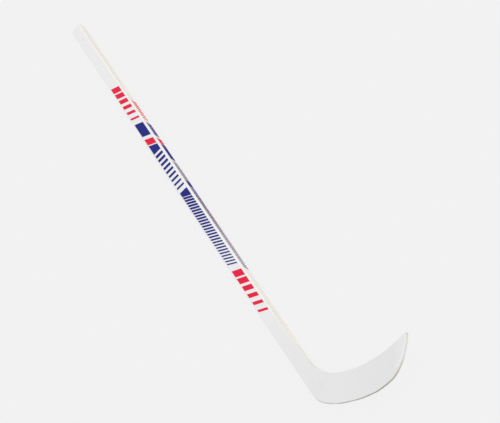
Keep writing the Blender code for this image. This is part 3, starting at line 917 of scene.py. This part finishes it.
def bar_tree():
    """Geometry Nodes tree that prints one row of slanted bars on one side of the shaft."""
    tree = bpy.data.node_groups.new("slanted_bars", "GeometryNodeTree")
    kinds = {"Count": "Int", "Ink": "Material"}
    for name in ROW_INPUTS + SIDE_INPUTS:
        kind = kinds.get(name, "Float")
        tree.interface.new_socket(name, in_out="INPUT", socket_type="NodeSocket" + kind)
    tree.interface.new_socket("Geometry", in_out="OUTPUT", socket_type="NodeSocketGeometry")
    given = add(tree, "NodeGroupInput").outputs
    first = add(tree, "ShaderNodeCombineXYZ", {"X": given["Start"]})
    step = add(tree, "ShaderNodeCombineXYZ", {"X": given["Pitch"]})
    row = add(tree, "GeometryNodeMeshLine", {"Count": given["Count"], "Start Location": first,
                                             "Offset": step})
    # A hair more than 1 comes off, so that a row of one bar doesn't divide by 0
    last_index = add(tree, "ShaderNodeMath", (given["Count"], 1.001), operation="SUBTRACT")
    index = add(tree, "GeometryNodeInputIndex")
    share = add(tree, "ShaderNodeMath", (index, last_index), operation="DIVIDE")
    width = add(tree, "ShaderNodeMapRange", {"Value": share, "To Min": given["First Width"],
                                             "To Max": given["Last Width"]})
    size = add(tree, "ShaderNodeCombineXYZ", (width, given["Print Height"], 2 * INK_FILM))
    bar = add(tree, "GeometryNodeMeshCube", {"Vertices Y": BAR_POINTS})
    corner = add(tree, "GeometryNodeTransform", {"Geometry": bar, "Translation": (0.5, 0.5, 0)})
    unit = add(tree, "ShaderNodeSeparateXYZ", (add(tree, "GeometryNodeInputPosition"),))
    marked = add(tree, "GeometryNodeStoreNamedAttribute", {"Geometry": corner, "Name": "far_end",
                                                           "Value": unit.outputs["X"]})
    laid = add(tree, "GeometryNodeInstanceOnPoints", {"Points": row, "Instance": marked, "Scale": size})
    real = add(tree, "GeometryNodeRealizeInstances", {"Geometry": laid})
    far_end = add(tree, "GeometryNodeInputNamedAttribute", {"Name": "far_end"}).outputs["Attribute"]
    slant = add(tree, "ShaderNodeMapRange", {"Value": far_end, "To Min": given["Slant"],
                                             "To Max": given["End Slant"]})
    place = add(tree, "ShaderNodeSeparateXYZ", (add(tree, "GeometryNodeInputPosition"),))
    lean = add(tree, "ShaderNodeMath", (place.outputs["Y"], slant), operation="MULTIPLY")
    shift = add(tree, "ShaderNodeCombineXYZ", (lean, given["Low Edge"]))
    slanted = add(tree, "GeometryNodeSetPosition", {"Geometry": real, "Offset": shift})
    wrapped = add(tree, "GeometryNodeSetPosition", {"Geometry": slanted,
                                                    "Position": round_corner(tree, given)})
    rotation = add(tree, "ShaderNodeCombineXYZ", {"X": given["Turn"]})
    turned = add(tree, "GeometryNodeTransform", {"Geometry": wrapped, "Rotation": rotation})
    inked = add(tree, "GeometryNodeSetMaterial", {"Geometry": turned, "Material": given["Ink"]})
    add(tree, "NodeGroupOutput", {"Geometry": inked})
    return tree


def round_corner(tree, given):
    """Places of flat ink points once they are laid on the face and round its far corner."""
    place = add(tree, "ShaderNodeSeparateXYZ", (add(tree, "GeometryNodeInputPosition"),)).outputs
    start, radius = given["Round Start"], given["Round Radius"]
    past = add(tree, "ShaderNodeMath", (place["Y"], start), operation="SUBTRACT")
    past = add(tree, "ShaderNodeMath", (past, 0.0), operation="MAXIMUM")
    angle = add(tree, "ShaderNodeMath", (past, radius), operation="DIVIDE")
    reach = add(tree, "ShaderNodeMath", (radius, place["Z"]), operation="ADD")
    flat = add(tree, "ShaderNodeMath", (place["Y"], start), operation="MINIMUM")
    middle = add(tree, "ShaderNodeMath", (given["Face Distance"], radius), operation="SUBTRACT")
    sine, cosine = [add(tree, "ShaderNodeMath", (angle,), operation=name) for name in ("SINE", "COSINE")]
    across = add(tree, "ShaderNodeMath", (sine, reach, flat), operation="MULTIPLY_ADD")
    height = add(tree, "ShaderNodeMath", (cosine, reach, middle), operation="MULTIPLY_ADD")
    return add(tree, "ShaderNodeCombineXYZ", (place["X"], across, height))


def printed_row(tree, *values):
    """Plain mesh of one row of bars on one side, from the values of the tree's inputs."""
    named = dict(zip(ROW_INPUTS + SIDE_INPUTS, values))
    holder = placed("row", bpy.data.meshes.new("row"))
    modifier = holder.modifiers.new("bars", "NODES")
    modifier.node_group = tree
    for socket in tree.interface.items_tree:
        if socket.in_out == "INPUT":
            modifier[socket.identifier] = named[socket.name]
    settle(holder)
    mesh = holder.data
    bpy.data.objects.remove(holder)
    return mesh


def ink(name, code, shade):
    """Screen ink, matt and opaque, a little thinner where the cloth's threads stand up."""
    material, tree, shader = finish_of(name, 0.60, specular=0.15)
    place = add(tree, "ShaderNodeTexCoord").outputs["Object"]
    specks = add(tree, "ShaderNodeTexNoise", {"Vector": place, "Scale": 1 / THREAD, "Detail": 1})
    thin = ramped(tree, (specks, (0.3, 0.8)))
    raised = add(tree, "ShaderNodeBump", {"Height": specks, "Strength": 0.4, "Distance": 0.00003})
    connect(tree, shader, {"Base Color": coated(tree, code, (thin, shade)), "Normal": raised})
    return material


bars = bar_tree()
inks = {"navy": ink("navy_screen_ink", "141D7B", "1C2583"),
        "red": ink("red_screen_ink", "E5103A", "E81D46"),
        "violet": ink("violet_screen_ink", "624D7E", "6C5788")}
SIDES = (("forehand", WIDE_ROWS, WIDE_PRINT, HALF_THICKNESS, HALF_WIDTH, 0.0),
         ("backhand", WIDE_ROWS, WIDE_PRINT, HALF_THICKNESS, HALF_WIDTH, math.pi),
         ("toe_side", NARROW_ROWS, NARROW_PRINT, HALF_WIDTH, HALF_THICKNESS, -math.pi / 2),
         ("heel_side", NARROW_ROWS, NARROW_PRINT, HALF_WIDTH, HALF_THICKNESS, math.pi / 2))
for side, rows, (low, high), distance, reach, turn in SIDES:
    for ink_name, material in inks.items():
        rows_in_ink = [row[1:] for row in rows if row[0] == ink_name]
        if not rows_in_ink:
            continue
        shape = bmesh.new()
        for row in rows_in_ink:
            shape.from_mesh(printed_row(bars, *row, low, high - low, distance, reach - CORNER_RADIUS,
                                        CORNER_RADIUS, turn, material))
        name = f"print_{ink_name}_{side}"
        mesh = bpy.data.meshes.new(name)
        shape.to_mesh(mesh)
        shape.free()
        fit(placed(name, mesh), material, "glass_facing")

# Floor
# A pale matt studio floor that the stick lies on. Most of what the camera sees of it is an
# even backdrop tone, and the rest is its own lit surface, which keeps a soft shadow.
BACKDROP = "F2F2F2"
FLOOR_HALF = 12.0
EVEN_SHARE = 0.95

floor_mesh = bpy.data.meshes.new("floor")
floor_height = -HALF_THICKNESS - INK_FILM
floor_corners = [(x * FLOOR_HALF, y * FLOOR_HALF, floor_height)
                 for x, y in ((-1, -1), (1, -1), (1, 1), (-1, 1))]
floor_mesh.from_pydata(floor_corners, [], [(0, 1, 2, 3)])
floor = placed("floor", floor_mesh)


def show_backdrop(tree, lit, tone, share, output):
    """Show a share of an even tone to the camera and to rays that gloss or glass sends on."""
    path = add(tree, "ShaderNodeLightPath").outputs
    seen = path["Is Camera Ray"]
    for ray in ("Is Glossy Ray", "Is Transmission Ray"):
        seen = add(tree, "ShaderNodeMath", (seen, path[ray]), operation="MAXIMUM")
    seen = add(tree, "ShaderNodeMath", (seen, share), operation="MULTIPLY")
    mixed = add(tree, "ShaderNodeMixShader", (seen, lit, tone))
    connect(tree, tree.nodes[output], {"Surface": mixed})


matt, matt_tree, matt_shader = finish_of("matt_studio_floor", 0.9, specular=0.0)
connect(matt_tree, matt_shader, {"Base Color": BACKDROP})
even_tone = add(matt_tree, "ShaderNodeEmission", {"Color": BACKDROP})
show_backdrop(matt_tree, matt_shader, even_tone, EVEN_SHARE, "Material Output")
floor_mesh.materials.append(matt)

# Light
# An even pale studio all round, and one broad soft lamp far off on the toe side. It lights
# the narrow side and the rounded edges a little more, and leaves the sole's edge in shade.
SKY_LEVEL = 0.94
LAMP_DIRECTION = Vector((-0.40, 1.06, 0.46))     # from the stick to the lamp
LAMP_LEVEL = 0.06              # what it adds to a white surface that lies flat
LAMP_ANGLE = math.radians(30)

world = bpy.data.worlds.new("pale_studio")
scene.world = world
world.use_nodes = True
sky = world.node_tree
lit = sky.nodes["Background"]
connect(sky, lit, {"Color": "FFFFFF", "Strength": SKY_LEVEL})
plain = add(sky, "ShaderNodeBackground", {"Color": BACKDROP, "Strength": 1.0})
show_backdrop(sky, lit, plain, 1.0, "World Output")

lamp_data = bpy.data.lights.new("soft_lamp", "SUN")
lamp_data.angle = LAMP_ANGLE
lamp_data.energy = LAMP_LEVEL * math.pi / LAMP_DIRECTION.normalized().z
lamp = placed("soft_lamp", lamp_data)
lamp.matrix_world = LAMP_DIRECTION.to_track_quat("Z", "Y").to_matrix().to_4x4()

# Camera
# A long lens from beyond the toe, high on the forehand side, rolled so that the stick hangs
# across the frame from the top left to the blade at the bottom right.
CAMERA_TARGET = Vector((0.9721, 0.0998, 0.0))
CAMERA_DISTANCE = 4.4149
CAMERA_AZIMUTH = math.radians(22.628)
CAMERA_ELEVATION = math.radians(35.180)
CAMERA_ROLL = math.radians(70.962)
SENSOR_WIDTH = 36.0
FRAME_WIDTH = 500              # pixels
FOCAL_PIXELS = 2132

away = Vector((math.cos(CAMERA_AZIMUTH) * math.cos(CAMERA_ELEVATION),
               math.sin(CAMERA_AZIMUTH) * math.cos(CAMERA_ELEVATION), math.sin(CAMERA_ELEVATION)))
camera_data = bpy.data.cameras.new("camera")
camera_data.sensor_fit = "HORIZONTAL"
camera_data.sensor_width = SENSOR_WIDTH
camera_data.lens = FOCAL_PIXELS / FRAME_WIDTH * SENSOR_WIDTH
camera = placed("camera", camera_data)
camera.matrix_world = (Matrix.Translation(CAMERA_TARGET + away * CAMERA_DISTANCE)
                       @ (-away).to_track_quat("-Z", "Y").to_matrix().to_4x4()
                       @ Matrix.Rotation(-CAMERA_ROLL, 4, "Z"))
scene.camera = camera
scene.view_settings.view_transform = "Standard"
